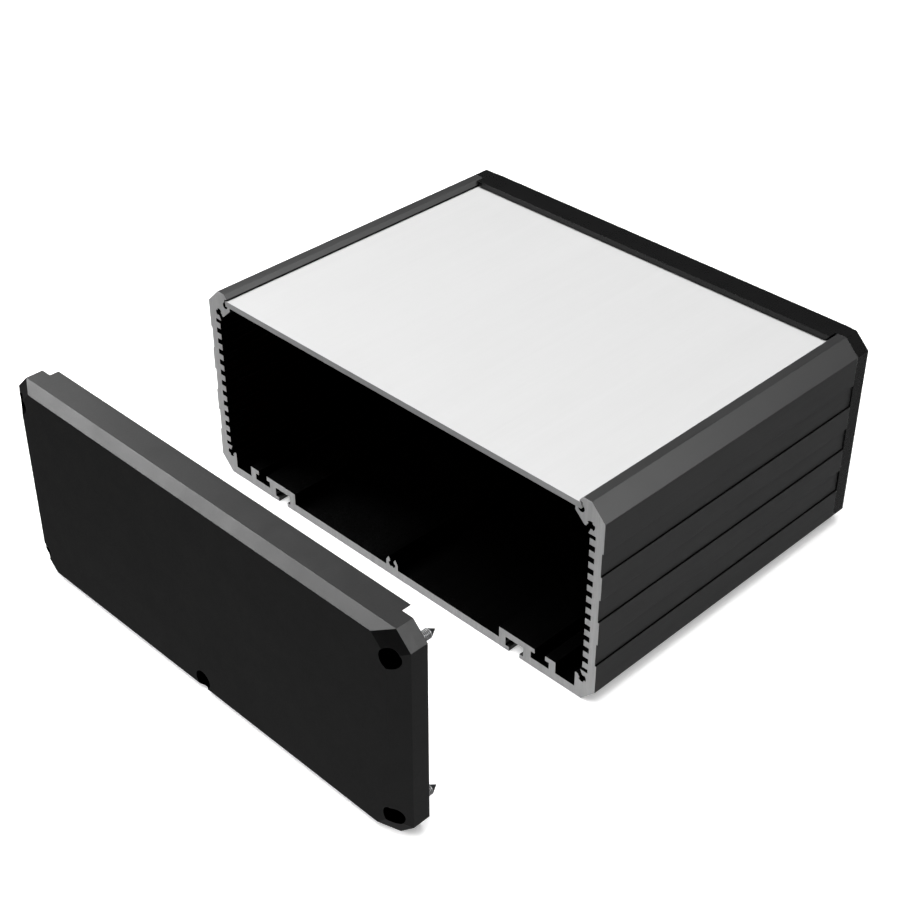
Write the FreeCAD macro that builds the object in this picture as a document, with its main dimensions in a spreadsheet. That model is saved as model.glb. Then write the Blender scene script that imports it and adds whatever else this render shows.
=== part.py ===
import FreeCAD, Part
import math
import os

import Sketcher

os.makedirs("parts", exist_ok=True)
doc = FreeCAD.newDocument("enclosure")

# Frame
# X across the width, Y along the extrusion from the front cover to the rear cover, Z up.
# The origin is the centre of the body's underside. All values are millimetres and degrees.

SIZES = [
    # Outline of the extrusion, shared by both covers; the board it is made for sets its width
    ("board_width", 160.0),
    ("board_side_play", 0.1),
    ("side_wall", 3.0),
    ("body_height", 70.0),
    ("body_length", 116.5),
    ("corner_cut", 5.0),
    ("floor_thickness", 3.0),
    # Shallow bands down each outer side
    ("band_first", 15.0),
    ("band_height", 8.0),
    ("band_pitch", 16.0),
    ("band_depth", 0.5),
    # Guide comb for boards inside each side wall
    ("board_thickness", 1.6),
    ("board_play", 0.3),
    ("comb_depth", 2.0),
    ("comb_first", 15.0),
    ("comb_pitch", 4.0),
    ("comb_margin", 10.6),
    ("comb_end_notch", 1.35),
    # Screws, with the core that the channel lands guide
    ("screw_core", 2.1),
    ("screw_length", 9.5),
    ("screw_point", 1.85),
    ("screw_point_tip", 0.3),
    ("head_diameter", 5.6),
    ("head_height", 2.1),
    ("head_bevel", 0.7),
    ("drive_span", 3.0),
    ("drive_slot", 0.75),
    ("drive_depth", 1.3),
    # Screw channels: three lands around an open bore
    ("channel_inset", 4.9),
    ("channel_edge", 7.85),
    ("channel_centre_rise", 4.52),
    ("channel_bore", 3.0),
    ("land_play", 0.03),
    ("land_width", 0.8),
    ("land_reach", 1.9),
    ("land_corner_turn", 45.0),
    ("land_centre_turn", 30.0),
    # Corner channel walls: the arm under the lid seat, the prongs and the lower block.
    # An inset is measured in from the outer side, a drop down from the top.
    ("arm_inset", 10.55),
    ("arm_drop", 5.25),
    ("arm_foot_inset", 7.4),
    ("arm_foot_drop", 8.3),
    ("arm_toe_inset", 7.0),
    ("arm_toe_drop", 8.6),
    ("arm_heel_inset", 6.5),
    ("arm_heel_drop", 8.5),
    ("prong_inset", 5.65),
    ("prong_rise", 9.0),
    ("block_inset", 7.5),
    ("block_rise", 8.35),
    ("block_peak_inset", 7.2),
    ("block_peak_rise", 8.6),
    # Channel in the middle of the floor
    ("centre_wall_side", 2.57),
    ("centre_wall_rise", 5.0),
    ("centre_tip_side", 1.5),
    ("centre_tip_rise", 6.7),
    ("centre_notch_side", 0.7),
    ("centre_notch_rise", 5.6),
    # Nut slots in the floor: one open to the underside, one open to the inside, on each half
    ("nut_slot_width", 7.1),
    ("slot_top", 7.0),
    ("outer_slot_inset", 31.0),
    ("outer_slot_mouth", 4.2),
    ("outer_slot_lip", 1.45),
    ("outer_slot_height", 3.25),
    ("outer_slot_wall", 2.63),
    ("inner_slot_inset", 20.95),
    ("inner_slot_mouth", 4.1),
    ("inner_slot_height", 2.37),
    ("inner_slot_post", 2.5),
    # Lid, its seat and the two rails with their noses
    ("seat_drop", 4.1),
    ("lid_thickness", 2.0),
    ("lid_side_play", 0.35),
    ("rail_edge_inset", 8.05),
    ("nose_inset", 9.3),
    ("nose_drop", 1.5),
    ("slit_inset", 8.2),
    ("slit_drop", 1.8),
    ("relief_inset", 8.45),
    ("relief_drop", 3.9),
    ("relief_radius", 1.16),
    # Covers
    ("cover_depth", 9.0),
    ("cover_rim", 5.65),
    ("cover_bevel_side", 5.3),
    ("cover_bevel_top", 2.0),
    ("cover_bevel_corner", 5.3),
    ("cover_web", 2.1),
    ("head_bore", 6.1),
    ("shank_hole", 3.2),
    ("lip_length", 3.0),
    ("lip_side_play", 0.75),
    ("lip_play", 0.15),
    # How far the front cover stands off the body
    ("front_gap", 65.25),
    # How far a cut runs past the face it opens, and a rib runs into its wall
    ("run_out", 1.0),
]

sheet = doc.addObject("Spreadsheet::Sheet", "Sizes")
for row, (alias, number) in enumerate(SIZES, start=1):
    sheet.set(f"A{row}", alias)
    sheet.set(f"B{row}", str(number))
    sheet.setAlias(f"B{row}", alias)
doc.recompute()


class Size:
    """A length with the sheet formula that gives it, so that both are written once."""

    def __init__(self, value, formula):
        self.value = float(value)
        self.formula = formula

    def __add__(self, other):
        other = as_size(other)
        return Size(self.value + other.value, f"({self.formula} + {other.formula})")

    def __sub__(self, other):
        other = as_size(other)
        return Size(self.value - other.value, f"({self.formula} - {other.formula})")

    def __mul__(self, other):
        other = as_size(other)
        return Size(self.value * other.value, f"({self.formula} * {other.formula})")

    def __truediv__(self, other):
        other = as_size(other)
        return Size(self.value / other.value, f"({self.formula} / {other.formula})")

    def __neg__(self):
        return Size(-self.value, f"(0 - {self.formula})")


def as_size(number):
    """A plain number as a length of its own."""
    return number if isinstance(number, Size) else Size(number, repr(float(number)))


def cosine(angle):
    return Size(math.cos(math.radians(angle.value)), f"cos({angle.formula})")


def sine(angle):
    return Size(math.sin(math.radians(angle.value)), f"sin({angle.formula})")


def places_along(span, pitch):
    """How many places at one pitch fit along a span, both ends counted."""
    steps = span / pitch + 0.001
    return Size(math.floor(steps.value), f"floor({steps.formula})") + 1


size = {alias: Size(number, f"Sizes.{alias}") for alias, number in SIZES}

comb_root = size["board_width"] / 2 + size["board_side_play"]
half_width = comb_root + size["side_wall"]
height = size["body_height"]
length = size["body_length"]
floor_top = size["floor_thickness"]
seat_height = height - size["seat_drop"]
lid_top = seat_height + size["lid_thickness"]
run_out = size["run_out"]
nothing = as_size(0)


def in_from_side(name):
    """The distance from the middle to a place that is measured in from the outer side."""
    return half_width - size[name]


def down_from_top(name):
    """The height of a place that is measured down from the top."""
    return height - size[name]


def origin_part(body, role):
    return [part for part in body.Origin.OriginFeatures if part.Role == role][0]


def new_body(name):
    body = doc.addObject("PartDesign::Body", name)
    body.Label = name
    return body


def new_sketch(body, name, role="XZ_Plane", offset=None):
    """A sketch on one of the body's own planes, moved along that plane's normal if asked."""
    sketch = body.newObject("Sketcher::SketchObject", name)
    sketch.AttachmentSupport = [(origin_part(body, role), "")]
    sketch.MapMode = "FlatFace"
    if offset is not None:
        sketch.AttachmentOffset = FreeCAD.Placement(
            FreeCAD.Vector(0, 0, offset.value), FreeCAD.Rotation()
        )
        sketch.setExpression("AttachmentOffset.Base.z", offset.formula)
    return sketch


def fix_point(sketch, geometry, point, across, up):
    """Hold one point of a sketch at its two lengths from the origin."""
    for kind, distance in (("DistanceX", across), ("DistanceY", up)):
        index = sketch.addConstraint(
            Sketcher.Constraint(kind, -1, 1, geometry, point, distance.value)
        )
        sketch.setExpression(f"Constraints[{index}]", distance.formula)


def add_outline(sketch, corners):
    """A closed outline through the corners, each held by its own two lengths."""
    first = sketch.GeometryCount
    count = len(corners)
    flat = [FreeCAD.Vector(across.value, up.value, 0) for across, up in corners]
    edges = [Part.LineSegment(flat[i], flat[(i + 1) % count]) for i in range(count)]
    sketch.addGeometry(edges)
    joints = []
    for i in range(count):
        following = first + (i + 1) % count
        joints.append(Sketcher.Constraint("Coincident", first + i, 2, following, 1))
    sketch.addConstraint(joints)
    for i, (across, up) in enumerate(corners):
        fix_point(sketch, first + i, 1, across, up)


def add_circle(sketch, across, up, diameter):
    """A circle held by its centre and its diameter."""
    centre = FreeCAD.Vector(across.value, up.value, 0)
    index = sketch.addGeometry(Part.Circle(centre, FreeCAD.Vector(0, 0, 1), diameter.value / 2))
    fix_point(sketch, index, 3, across, up)
    held = sketch.addConstraint(Sketcher.Constraint("Diameter", index, diameter.value))
    sketch.setExpression(f"Constraints[{held}]", diameter.formula)


def left_of(corners):
    """The same corners on the left half, in the order that closes a shared outline."""
    return [(-across, up) for across, up in reversed(corners)]


def both_halves(corners):
    """One outline that runs down the right half and back up the left half."""
    return corners + left_of(corners)


def rectangle(left, right, bottom, top):
    return [(left, bottom), (right, bottom), (right, top), (left, top)]


def along_length(body, kind, name, sketch, span, symmetric=True):
    """Pad or pocket a sketch, to both sides of its plane or to one side."""
    feature = body.newObject(f"PartDesign::{kind}", name)
    feature.Profile = sketch
    feature.SideType = "Symmetric" if symmetric else "One side"
    feature.Type = "Length"
    feature.Length = span.value
    feature.setExpression("Length", span.formula)
    feature.Refine = True
    body.Tip = feature
    return feature


def cut_through(body, name, outlines):
    """Cut outlines along the whole extrusion."""
    sketch = new_sketch(body, name + "Sketch")
    for corners in outlines:
        add_outline(sketch, corners)
    doc.recompute()
    return along_length(body, "Pocket", name, sketch, length + run_out * 2)


def add_along(body, name, outlines):
    """Add outlines along the whole extrusion."""
    sketch = new_sketch(body, name + "Sketch")
    for corners in outlines:
        add_outline(sketch, corners)
    doc.recompute()
    return along_length(body, "Pad", name, sketch, length)


def repeat_upwards(body, name, feature, pitch, count):
    """Repeat a feature up the side at one pitch."""
    doc.recompute()
    pattern = body.newObject("PartDesign::LinearPattern", name)
    pattern.Originals = [feature]
    pattern.Direction = (origin_part(body, "Z_Axis"), [""])
    pattern.Mode = "Spacing"
    pattern.Offset = pitch.value
    pattern.setExpression("Offset", pitch.formula)
    pattern.Occurrences = int(count.value)
    pattern.setExpression("Occurrences", count.formula)
    body.Tip = pattern
    return pattern


def eight_sides(side, top, corner):
    """The shared eight-sided outline, drawn in by three insets."""
    right = half_width - side
    corner_shift = corner * math.sqrt(2)
    top_corner = half_width - size["corner_cut"] + top - corner_shift
    side_corner = size["corner_cut"] - side + corner_shift
    return both_halves(
        [
            (top_corner, height - top),
            (right, height - side_corner),
            (right, side_corner),
            (top_corner, top),
        ]
    )


# Screw channel centres
channel_low = size["channel_edge"]
channel_high = down_from_top("channel_edge")
channel_side = in_from_side("channel_inset")
channel_rise = size["channel_centre_rise"]
CHANNELS = {
    "upper_right": (channel_side, channel_high),
    "lower_right": (channel_side, channel_low),
    "lower_centre": (nothing, channel_rise),
    "lower_left": (-channel_side, channel_low),
    "upper_left": (-channel_side, channel_high),
}


# Body: one extruded section
def land(centre, turn):
    """One flat land of a screw channel: it faces the centre and is rooted in the wall."""
    near = size["screw_core"] / 2 + size["land_play"]
    far = size["land_reach"]
    half = size["land_width"] / 2
    corners = []
    for out, aside in ((near, -half), (far, -half), (far, half), (near, half)):
        across = centre[0] + cosine(turn) * out - sine(turn) * aside
        up = centre[1] + sine(turn) * out + cosine(turn) * aside
        corners.append((across, up))
    return corners


def channel_lands():
    """Three lands in each of the five channels."""
    lands = []
    for turn_index in range(3):
        spread = 120 * turn_index
        turn = size["land_corner_turn"] + spread
        lands.append(land(CHANNELS["upper_right"], turn))
        lands.append(land(CHANNELS["lower_right"], -turn))
        lands.append(land(CHANNELS["upper_left"], as_size(180) - turn))
        lands.append(land(CHANNELS["lower_left"], as_size(180) + turn))
        lands.append(land(CHANNELS["lower_centre"], size["land_centre_turn"] + spread))
    return lands


def build_body():
    body = new_body("body_profile")

    outline = new_sketch(body, "OutlineSketch")
    add_outline(outline, eight_sides(nothing, nothing, nothing))
    doc.recompute()
    along_length(body, "Pad", "Outline", outline, length)

    # Mouth between the rails, with the noses that hold the lid down
    cut_through(
        body,
        "LidMouth",
        [
            both_halves(
                [
                    (in_from_side("rail_edge_inset"), height + run_out),
                    (in_from_side("rail_edge_inset"), height),
                    (in_from_side("nose_inset"), down_from_top("nose_drop")),
                    (in_from_side("slit_inset"), down_from_top("slit_drop")),
                    (in_from_side("slit_inset"), seat_height),
                ]
            )
        ],
    )

    # Cavity from the lid seat to the floor, round the corner channels and along the comb teeth
    comb_tip = comb_root - size["comb_depth"]
    comb_bottom = size["comb_margin"]
    comb_top = down_from_top("comb_margin")
    cut_through(
        body,
        "Cavity",
        [
            both_halves(
                [
                    (in_from_side("arm_inset"), seat_height + run_out),
                    (in_from_side("arm_inset"), down_from_top("arm_drop")),
                    (in_from_side("arm_foot_inset"), down_from_top("arm_foot_drop")),
                    (in_from_side("arm_toe_inset"), down_from_top("arm_toe_drop")),
                    (in_from_side("arm_heel_inset"), down_from_top("arm_heel_drop")),
                    (channel_side, channel_high),
                    (channel_side, down_from_top("prong_rise")),
                    (in_from_side("prong_inset"), comb_top),
                    (comb_tip, comb_top),
                    (comb_tip, comb_bottom),
                    (in_from_side("prong_inset"), comb_bottom),
                    (channel_side, size["prong_rise"]),
                    (channel_side, channel_low),
                    (in_from_side("block_peak_inset"), size["block_peak_rise"]),
                    (in_from_side("block_inset"), size["block_rise"]),
                    (in_from_side("block_inset"), floor_top),
                ]
            )
        ],
    )

    # Nut slot ribs on the floor
    nut_half = size["nut_slot_width"] / 2
    slot_top = size["slot_top"]
    outer_slot = in_from_side("outer_slot_inset")
    inner_slot = in_from_side("inner_slot_inset")
    outer_left = outer_slot - nut_half
    outer_right = outer_slot + nut_half
    inner_left = inner_slot - nut_half
    inner_right = inner_slot + nut_half
    inner_mouth_left = inner_slot - size["inner_slot_mouth"] / 2
    inner_mouth_right = inner_slot + size["inner_slot_mouth"] / 2
    inner_lip = floor_top + size["inner_slot_height"]
    rib_root = floor_top - run_out
    box = [
        (outer_left - size["outer_slot_wall"], rib_root),
        (inner_left, rib_root),
        (inner_left, inner_lip),
        (inner_mouth_left, inner_lip),
        (inner_mouth_left, slot_top),
        (outer_left - size["outer_slot_wall"], slot_top),
    ]
    post = [
        (inner_right, rib_root),
        (inner_right + size["inner_slot_post"], rib_root),
        (inner_right + size["inner_slot_post"], slot_top),
        (inner_mouth_right, slot_top),
        (inner_mouth_right, inner_lip),
        (inner_right, inner_lip),
    ]
    add_along(body, "NutSlotRibs", [box, post, left_of(box), left_of(post)])

    # Walls of the channel in the middle of the floor
    middle = [
        (size["centre_wall_side"], rib_root),
        (size["centre_wall_side"], size["centre_wall_rise"]),
        (size["centre_tip_side"], size["centre_tip_rise"]),
        (size["centre_notch_side"], size["centre_notch_rise"]),
    ]
    add_along(body, "CentreChannelWalls", [middle + [(nothing, channel_rise)] + left_of(middle)])

    # Nut slots open to the underside
    mouth_left = outer_slot - size["outer_slot_mouth"] / 2
    mouth_right = outer_slot + size["outer_slot_mouth"] / 2
    outer_lip = size["outer_slot_lip"]
    outer_top = outer_lip + size["outer_slot_height"]
    slot = [
        (mouth_left, -run_out),
        (mouth_right, -run_out),
        (mouth_right, outer_lip),
        (outer_right, outer_lip),
        (outer_right, outer_top),
        (outer_left, outer_top),
        (outer_left, outer_lip),
        (mouth_left, outer_lip),
    ]
    cut_through(body, "OuterNutSlots", [slot, left_of(slot)])

    # Open screw channels and the round reliefs beside the lid seat
    bores = new_sketch(body, "ChannelBoresSketch")
    for across, up in CHANNELS.values():
        add_circle(bores, across, up, size["channel_bore"])
    relief = in_from_side("relief_inset")
    for across in (relief, -relief):
        add_circle(bores, across, down_from_top("relief_drop"), size["relief_radius"] * 2)
    doc.recompute()
    along_length(body, "Pocket", "ChannelBores", bores, length + run_out * 2)
    add_along(body, "ChannelLands", channel_lands())

    # Board combs: the evenly spaced grooves, then the narrow notch at each end of the comb
    groove_half = (size["board_thickness"] + size["board_play"]) / 2
    groove = rectangle(
        comb_tip - run_out,
        comb_root,
        size["comb_first"] - groove_half,
        size["comb_first"] + groove_half,
    )
    first_groove = cut_through(body, "CombGroove", [groove, left_of(groove)])
    comb_span = height - size["comb_first"] * 2
    comb_count = places_along(comb_span, size["comb_pitch"])
    repeat_upwards(body, "Comb", first_groove, size["comb_pitch"], comb_count)
    notch = size["comb_end_notch"]
    low_notch = rectangle(comb_tip - run_out / 2, comb_root, comb_bottom, comb_bottom + notch)
    high_notch = rectangle(comb_tip - run_out / 2, comb_root, comb_top - notch, comb_top)
    notches = [low_notch, high_notch, left_of(low_notch), left_of(high_notch)]
    cut_through(body, "CombEndNotches", notches)

    # Shallow bands on the outer sides
    band = rectangle(
        half_width - size["band_depth"],
        half_width + run_out,
        size["band_first"],
        size["band_first"] + size["band_height"],
    )
    first_band = cut_through(body, "SideBand", [band, left_of(band)])
    band_span = height - size["band_first"] * 2 - size["band_height"]
    band_count = places_along(band_span, size["band_pitch"])
    repeat_upwards(body, "SideBands", first_band, size["band_pitch"], band_count)
    return body


# Lid: a flat plate as long as the body
def build_lid():
    body = new_body("lid_plate")
    sketch = new_sketch(body, "LidSketch")
    lid_half = in_from_side("slit_inset") - size["lid_side_play"]
    add_outline(sketch, rectangle(-lid_half, lid_half, seat_height, lid_top))
    doc.recompute()
    along_length(body, "Pad", "Plate", sketch, length)
    return body


# Covers: the back plane is at Y = 0, the bevelled face looks along -Y
def build_cover(name):
    body = new_body(name)

    rim = new_sketch(body, "RimSketch")
    add_outline(rim, eight_sides(nothing, nothing, nothing))
    doc.recompute()
    along_length(body, "Pad", "Rim", rim, size["cover_rim"], symmetric=False)

    # Bevel from the rim to the smaller front face
    bevel_start = new_sketch(body, "BevelStartSketch", offset=size["cover_rim"])
    add_outline(bevel_start, eight_sides(nothing, nothing, nothing))
    bevel_end = new_sketch(body, "BevelEndSketch", offset=size["cover_depth"])
    insets = (size["cover_bevel_side"], size["cover_bevel_top"], size["cover_bevel_corner"])
    add_outline(bevel_end, eight_sides(*insets))
    doc.recompute()
    bevel = body.newObject("PartDesign::AdditiveLoft", "Bevel")
    bevel.Profile = bevel_start
    bevel.Sections = [bevel_end]
    bevel.Ruled = True
    bevel.Refine = True
    body.Tip = bevel
    doc.recompute()

    # Lip that reaches over the end of the lid, its sides parallel to the rail slopes
    lip_bottom = lid_top + size["lip_play"]
    lip_side = in_from_side("rail_edge_inset") - size["lip_side_play"]
    rail_slope = (size["nose_inset"] - size["rail_edge_inset"]) / size["nose_drop"]
    lip_foot = lip_side - rail_slope * (height - lip_bottom)
    lip = new_sketch(body, "LipSketch")
    add_outline(lip, both_halves([(lip_side, height), (lip_foot, lip_bottom)]))
    doc.recompute()
    lip_pad = along_length(body, "Pad", "Lip", lip, size["lip_length"], symmetric=False)
    lip_pad.Reversed = True
    doc.recompute()

    # Head bores down to the web, then the shank holes through it
    head_bores = new_sketch(body, "HeadBoresSketch", offset=size["cover_depth"])
    shank_holes = new_sketch(body, "ShankHolesSketch", offset=size["cover_depth"])
    for across, up in CHANNELS.values():
        add_circle(head_bores, across, up, size["head_bore"])
        add_circle(shank_holes, across, up, size["shank_hole"])
    doc.recompute()
    bore_depth = size["cover_depth"] - size["cover_web"]
    along_length(body, "Pocket", "HeadBores", head_bores, bore_depth, symmetric=False)
    doc.recompute()
    hole_depth = size["cover_depth"] + run_out
    along_length(body, "Pocket", "ShankHoles", shank_holes, hole_depth, symmetric=False)
    return body


# Screws: the head seat is at Y = 0, the head stands along -Y, the point looks along +Y
def build_screw(name):
    body = new_body(name)
    core = size["screw_core"] / 2
    head = size["head_diameter"] / 2
    profile = new_sketch(body, "ScrewSketch", role="XY_Plane")
    add_outline(
        profile,
        [
            (nothing, -size["head_height"]),
            (head - size["head_bevel"], -size["head_height"]),
            (head, size["head_bevel"] - size["head_height"]),
            (head, nothing),
            (core, nothing),
            (core, size["screw_length"] - size["screw_point"]),
            (size["screw_point_tip"] / 2, size["screw_length"]),
            (nothing, size["screw_length"]),
        ],
    )
    doc.recompute()
    turned = body.newObject("PartDesign::Revolution", "Turned")
    turned.Profile = profile
    turned.ReferenceAxis = (profile, ["V_Axis"])
    turned.Angle = 360
    body.Tip = turned
    doc.recompute()

    # Cross recess in the head
    reach = size["drive_span"] / 2
    blade = size["drive_slot"] / 2
    recess = new_sketch(body, "RecessSketch", offset=size["head_height"])
    cross = [
        (blade, reach),
        (blade, blade),
        (reach, blade),
        (reach, -blade),
        (blade, -blade),
        (blade, -reach),
    ]
    add_outline(recess, both_halves(cross))
    doc.recompute()
    along_length(body, "Pocket", "Recess", recess, size["drive_depth"], symmetric=False)
    return body


def place(body, across, along, up, turned_round):
    """Put a finished body in the shared frame, turned half a turn about Z for the rear."""
    rotation = FreeCAD.Rotation(FreeCAD.Vector(0, 0, 1), 180 if turned_round else 0)
    base = FreeCAD.Vector(across.value, along.value, up.value)
    body.Placement = FreeCAD.Placement(base, rotation)
    for axis, distance in (("x", across), ("y", along), ("z", up)):
        body.setExpression(f"Placement.Base.{axis}", distance.formula)


bodies = [build_body(), build_lid()]

# Each cover stands with its back plane here, and its screws sit on the web in front of it
front_plane = -(length / 2 + size["front_gap"])
rear_plane = length / 2
ENDS = (("front", front_plane, False), ("rear", rear_plane, True))
for end, plane, turned_round in ENDS:
    cover = build_cover(f"{end}_cover")
    place(cover, nothing, plane, nothing, turned_round)
    bodies.append(cover)
    seat = plane + size["cover_web"] if turned_round else plane - size["cover_web"]
    for corner, (across, up) in CHANNELS.items():
        screw = build_screw(f"{end}_screw_{corner}")
        place(screw, across, seat, up, turned_round)
        bodies.append(screw)

doc.recompute()

for item in doc.Objects:
    bad = [state for state in item.State if state in ("Invalid", "Error")]
    if bad:
        raise RuntimeError(f"{item.Name}: {bad}")
for body in bodies:
    if body.Shape.isNull() or not body.Shape.isValid():
        raise RuntimeError(f"{body.Label}: shape not usable")
    if len(body.Shape.Solids) != 1:
        raise RuntimeError(f"{body.Label}: {len(body.Shape.Solids)} solids")
for body in bodies:
    body.Shape.exportStep(f"parts/{body.Label}.step")
    print(body.Label, round(body.Shape.Volume, 3))
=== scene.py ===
import math

import bpy
import numpy as np
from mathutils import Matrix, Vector


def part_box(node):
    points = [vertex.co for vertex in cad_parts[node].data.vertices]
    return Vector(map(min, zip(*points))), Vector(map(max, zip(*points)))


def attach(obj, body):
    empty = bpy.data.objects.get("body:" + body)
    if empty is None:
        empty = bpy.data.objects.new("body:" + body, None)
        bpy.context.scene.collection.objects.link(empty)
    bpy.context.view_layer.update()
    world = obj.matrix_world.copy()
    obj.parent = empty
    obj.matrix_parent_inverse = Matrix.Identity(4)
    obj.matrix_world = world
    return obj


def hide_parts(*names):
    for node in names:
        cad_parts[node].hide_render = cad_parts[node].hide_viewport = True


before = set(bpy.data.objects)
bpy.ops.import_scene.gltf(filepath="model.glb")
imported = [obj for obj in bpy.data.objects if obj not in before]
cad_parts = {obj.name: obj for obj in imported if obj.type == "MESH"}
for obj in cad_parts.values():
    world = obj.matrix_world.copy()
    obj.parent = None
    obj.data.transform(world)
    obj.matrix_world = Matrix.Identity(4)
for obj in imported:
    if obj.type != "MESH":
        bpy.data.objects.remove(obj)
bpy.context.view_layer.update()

MM = 0.001


# Places and sizes that the finishes follow

def middle_of(node_name):
    low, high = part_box(node_name)
    return (low + high) / 2


high_screw = middle_of("front_screw_upper_right")
low_screw = middle_of("front_screw_lower_right")
lowest_screw = middle_of("front_screw_lower_centre")
BODY_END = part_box("body_profile")[1].y
LID_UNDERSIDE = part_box("lid_plate")[0].z
# From the middle to the root of a board groove, the floor, and a screw's bore in a cover
GROOVE_ROOT = 80.1 * MM
FLOOR_THICKNESS = 3.0 * MM
BORE_RADIUS = 3.05 * MM
# How far a mask reaches past the faces that it covers, at the sawn ends and elsewhere
END_MARGIN = 0.03 * MM
FACE_MARGIN = 0.05 * MM
# How much of a bore wall's normal may point along the bore
WALL_TILT = 0.3


# Sizes of a screw

HEAD_HEIGHT = 2.1 * MM
HEAD_DIAMETER = 5.6 * MM
CORE_DIAMETER = 2.1 * MM
POINT_LENGTH = 1.85 * MM
RECESS_SPAN = 3.0 * MM
RECESS_SLOT = 0.75 * MM
RECESS_DEPTH = 1.3 * MM
# What the plain solid leaves to this script: the thread, the rounded head and the leaning walls
THREAD_DIAMETER = 2.9 * MM
THREAD_PITCH = 0.5 * MM
THREAD_START = 0.5 * MM
CREST_STEEPNESS = 1.25
HEAD_CROWN = 0.14 * MM
HEAD_FILLET = 0.75 * MM
HEAD_CHAMFER = 0.06 * MM
RECESS_LEAN = 0.12 * MM
# How much shade is painted in the cross recess, and over what length the point turns dark
RECESS_SHADE = 0.6
POINT_FADE = 0.08 * MM
# Points of the screw's surface around it and down its crown, its rim and its shank
SCREW_SIDES = 72
CROWN_ROWS = 44
RIM_ROWS = 9
SHANK_ROWS = 300


# Colours of the finishes, as red, green, blue and opacity

ANODISED_DARK = (0.011, 0.011, 0.0112, 1)
ANODISED_LIGHT = (0.017, 0.017, 0.0173, 1)
ANODISED_WORN = (0.08, 0.08, 0.082, 1)
# Painted shade: nearly black for the covered hollow, and for deep corners, slots and bore walls
HOLLOW_PAINTED_SHADE = (0.0032, 0.0032, 0.0033, 1)
DEEP_PAINTED_SHADE = (0.001, 0.001, 0.001, 1)
SAWN_DARK = (0.345, 0.345, 0.349, 1)
SAWN_LIGHT = (0.448, 0.448, 0.448, 1)
LID_DARK = (0.482, 0.482, 0.482, 1)
LID_LIGHT = (0.500, 0.500, 0.500, 1)
LID_HAZED = (0.476, 0.476, 0.478, 1)
LID_SAWN = (0.275, 0.275, 0.278, 1)
# Painted shade in the seam under the rails
LID_SEAM_SHADE = (0.01, 0.01, 0.01, 1)
COAT_WORN = (0.05, 0.05, 0.051, 1)
# Painted shade down in the thread, and the bright crest
THREAD_ROOT_SHADE = (0.03, 0.03, 0.03, 1)
THREAD_CREST = (0.85, 0.85, 0.86, 1)
PLATING_SPECK = (0.50, 0.50, 0.50, 1)
DARKER_POINT = (0.035, 0.035, 0.036, 1)
FLOOR_GREY = (0.90, 0.90, 0.90, 1)
FLOOR_PALE = (0.92, 0.92, 0.92, 1)
WHITE = (1, 1, 1, 1)
# How far wear bares a black edge, and what roughness a surface gains where no light gets in
EDGE_WEAR = 0.2
HIDDEN_ROUGHNESS = 0.4


# Node helpers

def feed(tree, node, inputs):
    """Sets a node's inputs to values, or links them to the sockets that are given instead."""
    for name, value in inputs.items():
        if isinstance(value, bpy.types.NodeSocket):
            tree.links.new(value, node.inputs[name])
        else:
            node.inputs[name].default_value = value


def add_node(tree, kind, inputs=None, **settings):
    """One node with its settings and its inputs."""
    made = tree.nodes.new("ShaderNode" + kind)
    for name, value in settings.items():
        setattr(made, name, value)
    feed(tree, made, inputs or {})
    return made


def math_node(tree, operation, first, second=0.0, clamp=False):
    made = add_node(tree, "Math", {0: first, 1: second}, operation=operation, use_clamp=clamp)
    return made.outputs[0]


def product(tree, first, *others):
    """All the values multiplied."""
    for value in others:
        first = math_node(tree, "MULTIPLY", first, value)
    return first


def add_shares(tree, base, *shares):
    """A base value plus each value times its weight."""
    for value, weight in shares:
        base = math_node(tree, "ADD", base, product(tree, value, weight))
    return base


def weigh(tree, first, second, share):
    """The average of two values, in which the first one counts for the share."""
    return math_node(tree, "ADD", product(tree, first, share), product(tree, second, 1.0 - share))


def range_node(tree, value, low, high, to_low=0.0, to_high=1.0, smooth=False):
    inputs = {"Value": value, "From Min": low, "From Max": high, "To Min": to_low, "To Max": to_high}
    kind = "SMOOTHSTEP" if smooth else "LINEAR"
    return add_node(tree, "MapRange", inputs, interpolation_type=kind, clamp=True).outputs["Result"]


def noise_node(tree, place, scale, detail, roughness=0.5, distortion=0.0):
    inputs = {"Vector": place, "Scale": scale, "Detail": detail, "Roughness": roughness}
    inputs["Distortion"] = distortion
    return add_node(tree, "TexNoise", inputs).outputs[0]


def distance_node(tree, across, up):
    place = add_node(tree, "CombineXYZ", {0: across, 1: up}).outputs[0]
    return add_node(tree, "VectorMath", {0: place}, operation="LENGTH").outputs["Value"]


def split_node(tree, place):
    return add_node(tree, "SeparateXYZ", {0: place}).outputs


def mix_colour(tree, factor, first, second):
    """The Mix node's inputs go by number, because its sockets for colours share their names."""
    return add_node(tree, "Mix", {0: factor, 6: first, 7: second}, data_type="RGBA").outputs[2]


def bump_node(tree, height, strength, depth, normal=None):
    inputs = {"Height": height, "Strength": strength, "Distance": depth}
    if normal is not None:
        inputs["Normal"] = normal
    return add_node(tree, "Bump", inputs).outputs["Normal"]


def start_group(name, inputs, outputs):
    """An empty node group with named float or vector inputs and named outputs."""
    tree = bpy.data.node_groups.new(name, "ShaderNodeTree")
    for label, kind, value in inputs:
        socket = tree.interface.new_socket(label, in_out="INPUT", socket_type="NodeSocket" + kind)
        if kind == "Float":
            socket.default_value = value
    for label, kind in outputs:
        tree.interface.new_socket(label, in_out="OUTPUT", socket_type="NodeSocket" + kind)
    return tree, tree.nodes.new("NodeGroupInput"), tree.nodes.new("NodeGroupOutput")


def use_group(tree, group, **inputs):
    """The outputs of a node group that is placed in a material with these values."""
    return add_node(tree, "Group", inputs, node_tree=group).outputs


# Effects shared by the finishes

# Noise keeps to the middle of its range, and these ends spread it over the whole
NOISE_LOW = 0.36
NOISE_HIGH = 0.64


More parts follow.
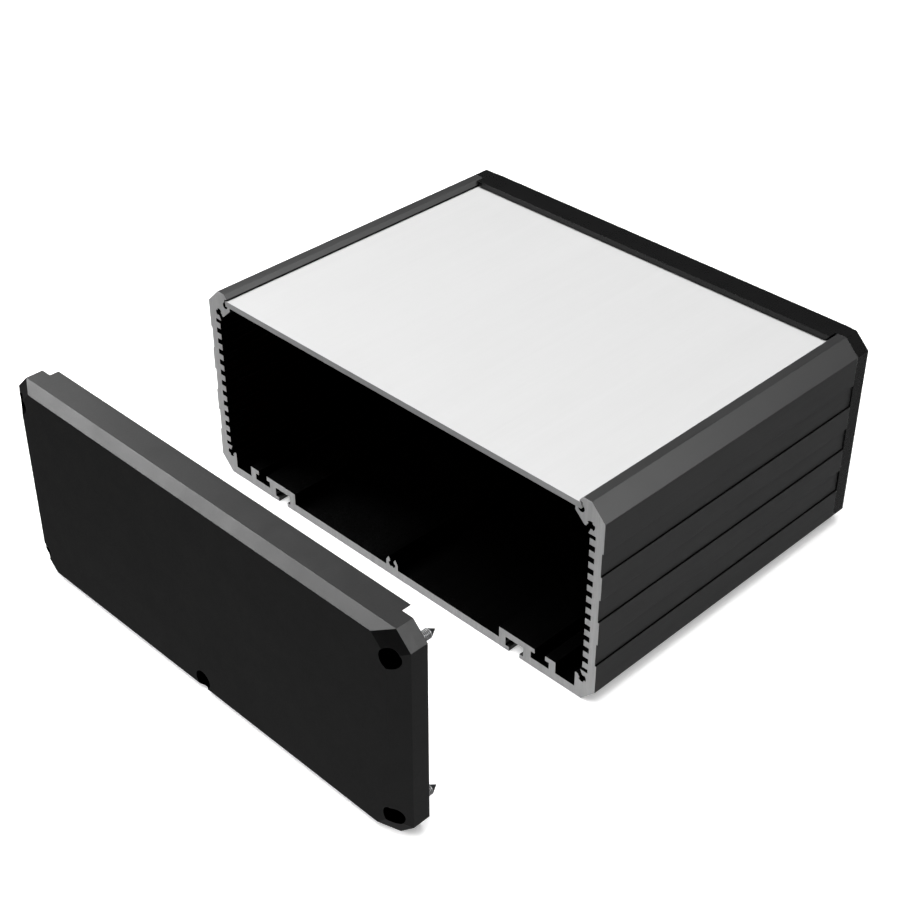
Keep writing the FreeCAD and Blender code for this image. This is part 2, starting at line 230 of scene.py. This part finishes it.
def make_drawn_lines():
    """Fine lines left along the way a section is drawn or a blade runs.

    Noise is read at places divided by the line spacing, and divided again by the run of a line
    along the second axis, so each speck is pulled out into a line.
    """
    tree, given, result = start_group(
        "drawn_lines",
        [("Place", "Vector", None), ("Spacing", "Float", 0.4 * MM), ("Run", "Float", 60.0)],
        [("Height", "Float"), ("Tone", "Float")],
    )
    dense = math_node(tree, "DIVIDE", 1.0, given.outputs["Spacing"])
    slack = math_node(tree, "DIVIDE", dense, given.outputs["Run"])
    scale = add_node(tree, "CombineXYZ", {0: dense, 1: slack, 2: dense}).outputs[0]
    pulled = add_node(tree, "VectorMath", {0: given.outputs["Place"], 1: scale}, operation="MULTIPLY")
    place = pulled.outputs[0]
    fine = noise_node(tree, place, scale=1.0, detail=3.0, roughness=0.65)
    broad = noise_node(tree, place, scale=0.11, detail=2.0)
    tone = range_node(tree, weigh(tree, fine, broad, share=0.6), NOISE_LOW, NOISE_HIGH)
    feed(tree, result, {"Height": fine, "Tone": tone})
    return tree


def make_fine_grain():
    """The tiny pebbled skin of a coat: cell distances for the pebbles, noise for how they lie."""
    tree, given, result = start_group(
        "fine_grain",
        [("Place", "Vector", None), ("Grain", "Float", 0.5 * MM)],
        [("Height", "Float"), ("Tone", "Float")],
    )
    place = given.outputs["Place"]
    dense = math_node(tree, "DIVIDE", 1.0, given.outputs["Grain"])
    cells = add_node(tree, "TexVoronoi", {"Vector": place, "Scale": dense}, feature="SMOOTH_F1")
    speck = noise_node(tree, place, scale=product(tree, dense, 0.5), detail=2.0)
    lie = noise_node(tree, place, scale=product(tree, dense, 0.06), detail=2.0)
    height = weigh(tree, cells.outputs["Distance"], speck, share=0.6)
    tone = range_node(tree, weigh(tree, speck, lie, share=0.5), NOISE_LOW, NOISE_HIGH)
    feed(tree, result, {"Height": height, "Tone": tone})
    return tree


def make_worn_edges():
    """A mask of edges that rub bare: how far the rounded normal leaves the flat one, broken up."""
    tree, given, result = start_group(
        "worn_edges",
        [("Place", "Vector", None), ("Width", "Float", 0.3 * MM), ("Patch", "Float", 3 * MM)],
        [("Mask", "Float"), ("Normal", "Vector")],
    )
    rounded = add_node(tree, "Bevel", {"Radius": given.outputs["Width"]}, samples=6).outputs[0]
    flat = tree.nodes.new("ShaderNodeNewGeometry").outputs["Normal"]
    alike = add_node(tree, "VectorMath", {0: rounded, 1: flat}, operation="DOT_PRODUCT")
    edge = range_node(tree, alike.outputs["Value"], low=0.995, high=0.9)
    dense = math_node(tree, "DIVIDE", 1.0, given.outputs["Patch"])
    patch = noise_node(tree, given.outputs["Place"], dense, detail=4.0, roughness=0.6)
    rubbed = range_node(tree, patch, low=0.42, high=0.66)
    feed(tree, result, {"Mask": product(tree, edge, rubbed), "Normal": rounded})
    return tree


def make_handling_haze():
    """Soft patches where hands and cloths leave a surface a little duller."""
    tree, given, result = start_group(
        "handling_haze",
        [("Place", "Vector", None), ("Patch", "Float", 30 * MM)],
        [("Mask", "Float")],
    )
    dense = math_node(tree, "DIVIDE", 1.0, given.outputs["Patch"])
    cloud = noise_node(tree, given.outputs["Place"], dense, detail=5.0, roughness=0.55, distortion=0.4)
    feed(tree, result, {"Mask": range_node(tree, cloud, low=0.35, high=0.7, smooth=True)})
    return tree


def make_closed_in(name, by_itself):
    """A mask of narrow corners and slots, which the finishes use for painted shade.

    It grows from nothing to all as the open share of the surroundings within reach falls from
    Start to Full. Where the piece is taken by itself, its neighbours don't count.
    """
    tree, given, result = start_group(
        name,
        [("Reach", "Float", 1 * MM), ("Start", "Float", 0.95), ("Full", "Float", 0.65)],
        [("Mask", "Float")],
    )
    reach = {"Distance": given.outputs["Reach"]}
    surroundings = add_node(tree, "AmbientOcclusion", reach, samples=8, only_local=by_itself)
    mask = range_node(tree, surroundings.outputs["AO"], given.outputs["Start"], given.outputs["Full"])
    feed(tree, result, {"Mask": mask})
    return tree


drawn_lines = make_drawn_lines()
fine_grain = make_fine_grain()
worn_edges = make_worn_edges()
handling_haze = make_handling_haze()
closed_in_shade = make_closed_in("closed_in_shade", True)
closed_in_shade_by_neighbours = make_closed_in("closed_in_shade_by_neighbours", False)


# Places on a piece where its finish changes

def sawn_ends(tree, axes):
    """A mask of the two sawn end faces, which lie furthest from the middle along the extrusion."""
    from_middle = math_node(tree, "ABSOLUTE", axes["Y"])
    return math_node(tree, "GREATER_THAN", from_middle, BODY_END - END_MARGIN)


def hollow_faces(tree, axes):
    """A mask of the faces round the hollow, out to the groove roots, the floor and the lid."""
    aside = math_node(tree, "ABSOLUTE", axes["X"])
    between_sides = math_node(tree, "LESS_THAN", aside, GROOVE_ROOT + FACE_MARGIN)
    over_floor = math_node(tree, "GREATER_THAN", axes["Z"], FLOOR_THICKNESS - FACE_MARGIN)
    under_lid = math_node(tree, "LESS_THAN", axes["Z"], LID_UNDERSIDE)
    return product(tree, between_sides, over_floor, under_lid)


def bore_wall_shade(tree, axes):
    """A mask of the walls of a cover's five screw bores, where shade is painted.

    The four corner bores lie evenly about the middle of the two screw rows, so one distance serves
    them all. A wall faces across its bore, and the seat below it, which faces along it, is left out.
    """
    middle = (high_screw.z + low_screw.z) / 2
    aside = math_node(tree, "SUBTRACT", math_node(tree, "ABSOLUTE", axes["X"]), high_screw.x)
    off_middle = math_node(tree, "ABSOLUTE", math_node(tree, "SUBTRACT", axes["Z"], middle))
    above = math_node(tree, "SUBTRACT", off_middle, high_screw.z - middle)
    above_lowest = math_node(tree, "SUBTRACT", axes["Z"], lowest_screw.z)
    from_corner = distance_node(tree, aside, above)
    from_lowest = distance_node(tree, axes["X"], above_lowest)
    from_nearest = math_node(tree, "MINIMUM", from_corner, from_lowest)
    near_bore = math_node(tree, "LESS_THAN", from_nearest, BORE_RADIUS + FACE_MARGIN)
    flat = tree.nodes.new("ShaderNodeNewGeometry").outputs["True Normal"]
    along_bore = math_node(tree, "ABSOLUTE", split_node(tree, flat)["Y"])
    return product(tree, near_bore, math_node(tree, "LESS_THAN", along_bore, WALL_TILT))


# Finishes

def new_finish(name):
    """An empty material with its shader, its output and the place on the piece."""
    finish = bpy.data.materials.new(name)
    finish.use_nodes = True
    tree = finish.node_tree
    tree.nodes.clear()
    shader = tree.nodes.new("ShaderNodeBsdfPrincipled")
    add_node(tree, "OutputMaterial", {"Surface": shader.outputs[0]})
    place = tree.nodes.new("ShaderNodeTexCoord").outputs["Object"]
    return finish, tree, shader, place


def make_black_anodised():
    """Satin black anodising over drawn lines; the two sawn ends are bare metal with blade marks.

    Where the hollow is closed in, and down in narrow corners, shade is painted: the finish turns
    nearly black, metallic and rough, so that no gloss is left there.
    """
    finish, tree, shader, place = new_finish("black_anodised")
    axes = split_node(tree, place)
    upright = add_node(tree, "CombineXYZ", {0: axes["X"], 1: axes["Z"], 2: axes["Y"]}).outputs[0]
    lines = use_group(tree, drawn_lines, Place=place, Spacing=0.35 * MM, Run=90.0)
    blade = use_group(tree, drawn_lines, Place=upright, Spacing=0.22 * MM, Run=40.0)
    haze = use_group(tree, handling_haze, Place=place, Patch=28 * MM)
    edges = use_group(tree, worn_edges, Place=place, Width=0.22 * MM, Patch=2.5 * MM)
    # Painted shade: the hollow under the lid and narrow corners turn nearly black, metallic and rough
    covered_shade = use_group(tree, closed_in_shade_by_neighbours, Reach=110 * MM, Start=0.82, Full=0.62)
    crevice_shade = use_group(tree, closed_in_shade, Reach=0.7 * MM, Start=0.93, Full=0.7)
    sawn = sawn_ends(tree, axes)
    inside_shade = product(tree, hollow_faces(tree, axes), covered_shade["Mask"])
    shaded = math_node(tree, "MAXIMUM", inside_shade, crevice_shade["Mask"])
    painted_shade = math_node(tree, "SUBTRACT", shaded, sawn, clamp=True)

    black = mix_colour(tree, lines["Tone"], ANODISED_DARK, ANODISED_LIGHT)
    black = mix_colour(tree, product(tree, edges["Mask"], EDGE_WEAR), black, ANODISED_WORN)
    black = mix_colour(tree, inside_shade, black, HOLLOW_PAINTED_SHADE)
    black = mix_colour(tree, crevice_shade["Mask"], black, DEEP_PAINTED_SHADE)
    bare = mix_colour(tree, blade["Tone"], SAWN_DARK, SAWN_LIGHT)
    colour = mix_colour(tree, sawn, black, bare)
    metal = add_shares(tree, painted_shade, (sawn, 0.3))
    rough = add_shares(
        tree, 0.40, (lines["Tone"], 0.08), (haze["Mask"], 0.06), (sawn, 0.06), (painted_shade, HIDDEN_ROUGHNESS)
    )
    along = product(tree, lines["Height"], math_node(tree, "SUBTRACT", 1.0, sawn))
    height = add_shares(tree, along, (blade["Height"], sawn))
    normal = bump_node(tree, height, strength=0.25, depth=0.02 * MM, normal=edges["Normal"])
    feed(tree, shader, {"Base Color": colour, "Metallic": metal, "Roughness": rough, "Normal": normal})
    feed(tree, shader, {"Specular IOR Level": 1.0})
    return finish


def make_natural_aluminium():
    """Pale natural anodised sheet with a very fine rolling grain along its length.

    It is darker on its sawn ends, and shade is painted in the seam between it and its rails.
    """
    finish, tree, shader, place = new_finish("natural_aluminium")
    lines = use_group(tree, drawn_lines, Place=place, Spacing=0.30 * MM, Run=55.0)
    haze = use_group(tree, handling_haze, Place=place, Patch=35 * MM)
    edges = use_group(tree, worn_edges, Place=place, Width=0.18 * MM, Patch=2.0 * MM)
    # Painted shade: the lid turns nearly black where the rails close it in
    seam = use_group(tree, closed_in_shade_by_neighbours, Reach=1.1 * MM, Start=0.85, Full=0.5)
    sawn = sawn_ends(tree, split_node(tree, place))

    colour = mix_colour(tree, lines["Tone"], LID_DARK, LID_LIGHT)
    colour = mix_colour(tree, product(tree, haze["Mask"], 0.25), colour, LID_HAZED)
    colour = mix_colour(tree, sawn, colour, LID_SAWN)
    colour = mix_colour(tree, seam["Mask"], colour, LID_SEAM_SHADE)
    rough = add_shares(tree, 0.48, (lines["Tone"], 0.05), (haze["Mask"], 0.05))
    normal = bump_node(tree, lines["Height"], strength=0.15, depth=0.006 * MM, normal=edges["Normal"])
    feed(tree, shader, {"Base Color": colour, "Metallic": 0.12, "Roughness": rough, "Normal": normal})
    feed(tree, shader, {"Specular IOR Level": 0.3})
    return finish


def make_black_cover(name, dark, light, gloss, roughness, relief):
    """Black baked coat with a tiny pebbled skin, rubbed thin along the sharp edges.

    Deep corners and the walls of the screw bores get painted shade: nearly black, metallic and
    rough, so that no gloss is left there.
    """
    finish, tree, shader, place = new_finish(name)
    grain = use_group(tree, fine_grain, Place=place, Grain=0.35 * MM)
    haze = use_group(tree, handling_haze, Place=place, Patch=30 * MM)
    edges = use_group(tree, worn_edges, Place=place, Width=0.12 * MM, Patch=2.5 * MM)
    # Painted shade: deep corners and the bore walls turn nearly black, metallic and rough
    corners = use_group(tree, closed_in_shade, Reach=6 * MM, Start=0.75, Full=0.35)
    painted_shade = math_node(tree, "MAXIMUM", corners["Mask"], bore_wall_shade(tree, split_node(tree, place)))

    low_tone = (dark, dark, dark * 1.03, 1)
    high_tone = (light, light, light * 1.02, 1)
    colour = mix_colour(tree, grain["Tone"], low_tone, high_tone)
    colour = mix_colour(tree, product(tree, edges["Mask"], EDGE_WEAR), colour, COAT_WORN)
    colour = mix_colour(tree, painted_shade, colour, DEEP_PAINTED_SHADE)
    by_grain, by_haze = 0.18 * roughness, 0.10 * roughness
    rough = add_shares(
        tree, roughness, (grain["Tone"], by_grain), (haze["Mask"], by_haze), (painted_shade, HIDDEN_ROUGHNESS)
    )
    normal = bump_node(tree, grain["Height"], strength=relief, depth=0.03 * MM, normal=edges["Normal"])
    feed(tree, shader, {"Base Color": colour, "Metallic": painted_shade, "Roughness": rough, "Normal": normal})
    feed(tree, shader, {"Specular IOR Level": gloss})
    return finish


def make_screw_steel():
    """Bright plated steel, with shade painted down in the thread and in the cross recess, and a darker
    point.
    """
    finish, tree, shader, place = new_finish("screw_steel")
    grain = use_group(tree, fine_grain, Place=place, Grain=0.12 * MM)
    ridge = add_node(tree, "Attribute", attribute_name="ridge").outputs["Fac"]
    point = add_node(tree, "Attribute", attribute_name="point").outputs["Fac"]
    # Painted shade: the plating turns dark down in the thread and in the cross recess
    plated = mix_colour(tree, ridge, THREAD_ROOT_SHADE, THREAD_CREST)
    plated = mix_colour(tree, product(tree, grain["Tone"], 0.1), plated, PLATING_SPECK)
    colour = mix_colour(tree, point, plated, DARKER_POINT)
    metal = math_node(tree, "SUBTRACT", 0.9, product(tree, point, 0.6))
    rough = add_shares(tree, 0.28, (grain["Tone"], 0.12))
    normal = bump_node(tree, grain["Height"], strength=0.15, depth=0.01 * MM)
    feed(tree, shader, {"Base Color": colour, "Metallic": metal, "Roughness": rough, "Normal": normal})
    return finish


FINISHES = {
    "body_profile": make_black_anodised(),
    "lid_plate": make_natural_aluminium(),
    "front_cover": make_black_cover(
        "black_cover", dark=0.0010, light=0.0020, gloss=0.80, roughness=0.42, relief=0.3
    ),
    # The rear cover takes a shaded copy of the same black coat: it reflects less, which paints shade on
    # its top
    "rear_cover": make_black_cover(
        "black_cover_shaded_copy", dark=0.0026, light=0.0036, gloss=0.30, roughness=0.25, relief=0.04
    ),
}
screw_steel = make_screw_steel()
for name, finish in FINISHES.items():
    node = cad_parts[name]
    node.data.materials.clear()
    node.data.materials.append(finish)


# Screws

def screw_surface(length):
    """One screw as a closed surface: along the axis, sideways and two marks on every point.

    The profile runs from the middle of the head's top, over its rounded edge and its underside,
    down the thread to the point. Its radius depends on the angle only along the thread, where the
    ridge is the triangle wave of the distance along the axis divided by the pitch, less the part
    of a turn. The head's top is pressed in where the point lies within the cross.
    """
    head = HEAD_DIAMETER / 2
    core = CORE_DIAMETER / 2
    crest = THREAD_DIAMETER / 2
    flat_edge = head - HEAD_FILLET
    shank = length - HEAD_HEIGHT

    # Head: a low crown, a rounded rim, the side, then in to the shank
    flat = np.linspace(0.0, flat_edge, CROWN_ROWS)[1:]
    crown = HEAD_CROWN * (flat / flat_edge) ** 2
    turn = np.linspace(0.0, math.pi / 2, RIM_ROWS)[1:]
    rim_out = flat_edge + HEAD_FILLET * np.sin(turn)
    rim_down = HEAD_CROWN + HEAD_FILLET * (1 - np.cos(turn))
    side_out = np.array([head, head - HEAD_CHAMFER, crest])
    side_down = np.array([HEAD_HEIGHT - HEAD_CHAMFER, HEAD_HEIGHT, HEAD_HEIGHT])
    # Shank: rows close enough to draw the thread, which runs out into a cone
    rows = np.linspace(0.0, shank, SHANK_ROWS)[:-1]
    cone = POINT_LENGTH * crest / core
    taper = np.clip((shank - rows) / cone, 0.0, 1.0)
    out = np.concatenate([flat, rim_out, side_out, np.where(taper < 1.0, crest * taper, core)])
    down = np.concatenate([crown, rim_down, side_down, HEAD_HEIGHT + rows])

    angle = np.arange(SCREW_SIDES) / SCREW_SIDES * 2 * math.pi
    out = np.repeat(out[:, None], SCREW_SIDES, axis=1)
    down = np.repeat(down[:, None], SCREW_SIDES, axis=1)
    on_top = len(flat)
    on_shank = len(flat) + len(rim_out) + len(side_out)

    # Thread
    phase = rows[:, None] / THREAD_PITCH - angle[None, :] / (2 * math.pi)
    wave = 1.0 - np.abs(2.0 * (phase - np.floor(phase)) - 1.0)
    ridge = np.clip(wave * CREST_STEEPNESS, 0.0, 1.0)
    started = np.clip(rows / THREAD_START, 0.0, 1.0)[:, None]
    before_point = (taper >= 1.0)[:, None].astype(float)
    lift = ridge * started * before_point
    out[on_shank:] += (crest - core) * lift

    # Cross recess, its walls leaning in a little
    across = out * np.cos(angle)[None, :]
    up = out * np.sin(angle)[None, :]

    def in_slot(long_way, short_way):
        along_slot = (RECESS_SPAN / 2 - np.abs(long_way)) / (2 * RECESS_LEAN)
        over_slot = (RECESS_SLOT / 2 + RECESS_LEAN / 2 - np.abs(short_way)) / RECESS_LEAN
        return np.clip(along_slot, 0.0, 1.0) * np.clip(over_slot, 0.0, 1.0)

    pressed = np.maximum(in_slot(across, up), in_slot(up, across))
    pressed[on_top:] = 0.0
    down = down + RECESS_DEPTH * pressed

    # Marks: where shade is painted down in the thread and the cross recess, and where the point turns
    # darker
    shade_mark = np.ones_like(out)
    shade_mark[on_shank:] = np.where(before_point > 0, lift, 1.0)
    shade_mark[:on_top] = 1.0 - RECESS_SHADE * pressed[:on_top]
    point_mark = np.zeros_like(out)
    point_mark[on_shank:] = np.clip((rows - (shank - cone)) / POINT_FADE, 0.0, 1.0)[:, None]
    return down, across, up, shade_mark, point_mark


def make_screw(node_name, body, looks_rear):
    """A screw in the place of its CAD node; its head is at the cover and its point in the body.

    The rings of the surface are joined by quads, and a fan closes each end: one at the middle of
    the recess, whose marks are those of its floor, and one at the tip.
    """
    low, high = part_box(node_name)
    centre = middle_of(node_name)
    length = high.y - low.y
    down, across, up, shade_mark, point_mark = screw_surface(length)
    rows, around = down.shape
    start, way = (low.y, 1.0) if looks_rear else (high.y, -1.0)

    ring = np.stack([centre.x + across, start + way * down, centre.z + up], axis=-1).reshape(-1, 3)
    top = np.array([[centre.x, start + way * RECESS_DEPTH, centre.z]])
    tip = np.array([[centre.x, start + way * length, centre.z]])
    places = np.concatenate([ring, top, tip])

    index = np.arange(rows * around).reshape(rows, around)
    following = np.roll(index, -1, axis=1)
    quads = np.stack([index[:-1], following[:-1], following[1:], index[1:]], axis=-1).reshape(-1, 4)
    top_index, tip_index = rows * around, rows * around + 1
    cap = np.stack([np.full(around, top_index), following[0], index[0]], axis=-1)
    end = np.stack([np.full(around, tip_index), index[-1], following[-1]], axis=-1)
    if looks_rear:
        quads, cap, end = quads[:, ::-1], cap[:, ::-1], end[:, ::-1]

    mesh = bpy.data.meshes.new(node_name + "_threaded")
    mesh.from_pydata(places.tolist(), [], quads.tolist() + cap.tolist() + end.tolist())
    shade_ends, point_ends = (1.0 - RECESS_SHADE, 1.0), (0.0, 1.0)
    for name, marks, ends in (("ridge", shade_mark, shade_ends), ("point", point_mark, point_ends)):
        layer = mesh.attributes.new(name, "FLOAT", "POINT")
        layer.data.foreach_set("value", np.concatenate([marks.ravel(), ends]).astype(np.float32))
    mesh.polygons.foreach_set("use_smooth", np.ones(len(mesh.polygons), dtype=bool))
    mesh.materials.append(screw_steel)
    mesh.update()
    screw = bpy.data.objects.new(node_name + "_threaded", mesh)
    bpy.context.scene.collection.objects.link(screw)
    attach(screw, body)
    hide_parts(node_name)
    return screw


CORNERS = ("upper_right", "lower_right", "lower_centre", "lower_left", "upper_left")
for corner in CORNERS:
    make_screw(f"front_screw_{corner}", "front_end", True)
    make_screw(f"rear_screw_{corner}", "rear_end", False)


# Floor, light and camera

# From the floor's middle to its sides, how deep it lies, and what the lights are turned to
FLOOR_REACH = 1.3
FLOOR_LEVEL = -0.2 * MM
PANEL_AIM = (0, 0, 0.03)
# The camera's place in metres, its turn and its look down in degrees, its lens in millimetres
CAMERA_PLACE = (0.30539, -0.33867, 0.34050)
CAMERA_AZIMUTH = 44.949
CAMERA_ELEVATION = 35.081
SENSOR_WIDTH = 36.0
FOCAL_LENGTH = 68.507
LENS_SHIFT = -0.00573


def make_floor():
    """A wide pale floor just under the object, lit softly from within and clear from below."""
    near, far = -FLOOR_REACH, FLOOR_REACH
    corners = [(x, y, FLOOR_LEVEL) for x, y in ((near, near), (far, near), (far, far), (near, far))]
    mesh = bpy.data.meshes.new("floor")
    mesh.from_pydata(corners, [], [(0, 1, 2, 3)])
    finish, tree, shader, place = new_finish("pale_floor")
    cloud = use_group(tree, handling_haze, Place=place, Patch=0.4)
    colour = mix_colour(tree, cloud["Mask"], FLOOR_GREY, FLOOR_PALE)
    feed(tree, shader, {"Base Color": colour, "Roughness": 0.9, "Specular IOR Level": 0.1})
    feed(tree, shader, {"Emission Color": WHITE, "Emission Strength": 0.4})
    clear = tree.nodes.new("ShaderNodeBsdfTransparent").outputs[0]
    under = tree.nodes.new("ShaderNodeNewGeometry").outputs["Backfacing"]
    either = add_node(tree, "MixShader", {0: under, 1: shader.outputs[0], 2: clear}).outputs[0]
    feed(tree, tree.nodes["Material Output"], {"Surface": either})
    mesh.materials.append(finish)
    floor = bpy.data.objects.new("floor", mesh)
    bpy.context.scene.collection.objects.link(floor)
    floor.visible_glossy = False


def make_panel(name, direction, distance, side, power):
    """A soft square light at a distance from its aim along a direction, turned to the aim."""
    data = bpy.data.lights.new(name, "AREA")
    data.shape = "RECTANGLE"
    data.size = side
    data.size_y = side
    data.energy = power
    panel = bpy.data.objects.new(name, data)
    towards = np.array(direction, float)
    towards = towards / np.linalg.norm(towards)
    panel.location = np.array(PANEL_AIM, float) + towards * distance
    panel.rotation_euler = Vector(-towards).to_track_quat("-Z", "Y").to_euler()
    panel.visible_camera = False
    bpy.context.scene.collection.objects.link(panel)
    return panel


def make_room():
    """A soft room around the object, whose light depends on the way that a ray looks.

    The ceiling brightens upwards and fades out towards the viewer. The ground brightens downwards,
    more so to the right and in front, and is dim at the far left. The camera sees plain white.
    """
    world = bpy.data.worlds.new("soft_room")
    world.use_nodes = True
    room = world.node_tree
    way = split_node(room, room.nodes.new("ShaderNodeTexCoord").outputs["Generated"])
    to_viewer = math_node(room, "SUBTRACT", product(room, way["X"], 0.5), way["Y"])
    ceiling = product(
        room,
        range_node(room, way["Z"], low=0.2, high=1.0, to_low=0.015, to_high=0.30, smooth=True),
        range_node(room, to_viewer, low=0.4, high=0.9, to_low=1.0, to_high=0.0),
    )
    ground = product(
        room,
        range_node(room, way["Z"], low=-0.15, high=-0.45, to_low=0.0, to_high=0.155, smooth=True),
        range_node(room, way["X"], low=-0.5, high=0.2, to_low=0.75, to_high=1.35),
        range_node(room, way["X"], low=-1.0, high=-0.65, to_low=0.2, to_high=1.0),
        range_node(room, way["Y"], low=-1.0, high=1.0, to_low=1.2, to_high=0.8),
    )
    dome = math_node(room, "ADD", ceiling, ground)
    seen = room.nodes.new("ShaderNodeLightPath").outputs["Is Camera Ray"]
    strength = math_node(room, "MAXIMUM", dome, seen)
    feed(room, room.nodes["Background"], {"Color": WHITE, "Strength": strength})
    bpy.context.scene.world = world


def make_camera():
    """The camera in the place from which the photo was taken."""
    data = bpy.data.cameras.new("camera")
    data.lens = FOCAL_LENGTH
    data.sensor_width = SENSOR_WIDTH
    data.shift_y = LENS_SHIFT
    data.clip_start = 0.01
    data.clip_end = 50.0
    camera = bpy.data.objects.new("camera", data)
    camera.location = CAMERA_PLACE
    camera.rotation_euler = (math.radians(90 - CAMERA_ELEVATION), 0.0, math.radians(CAMERA_AZIMUTH))
    bpy.context.scene.collection.objects.link(camera)
    bpy.context.scene.camera = camera


make_floor()
left_panel = make_panel("left_panel", (-0.73, -0.12, 0.67), distance=1.6, side=0.8, power=27.0)
right_panel = make_panel("right_panel", (0.74, 0.30, 0.60), distance=1.6, side=0.7, power=9.5)
overhead_panel = make_panel("overhead_panel", (-0.10, -0.20, 0.97), distance=1.8, side=2.4, power=82.0)
# The side panels give only shine, and the overhead one gives light without shine
left_panel.visible_diffuse = False
right_panel.visible_diffuse = False
overhead_panel.visible_glossy = False
make_room()
bpy.context.scene.view_settings.view_transform = "Standard"
make_camera()
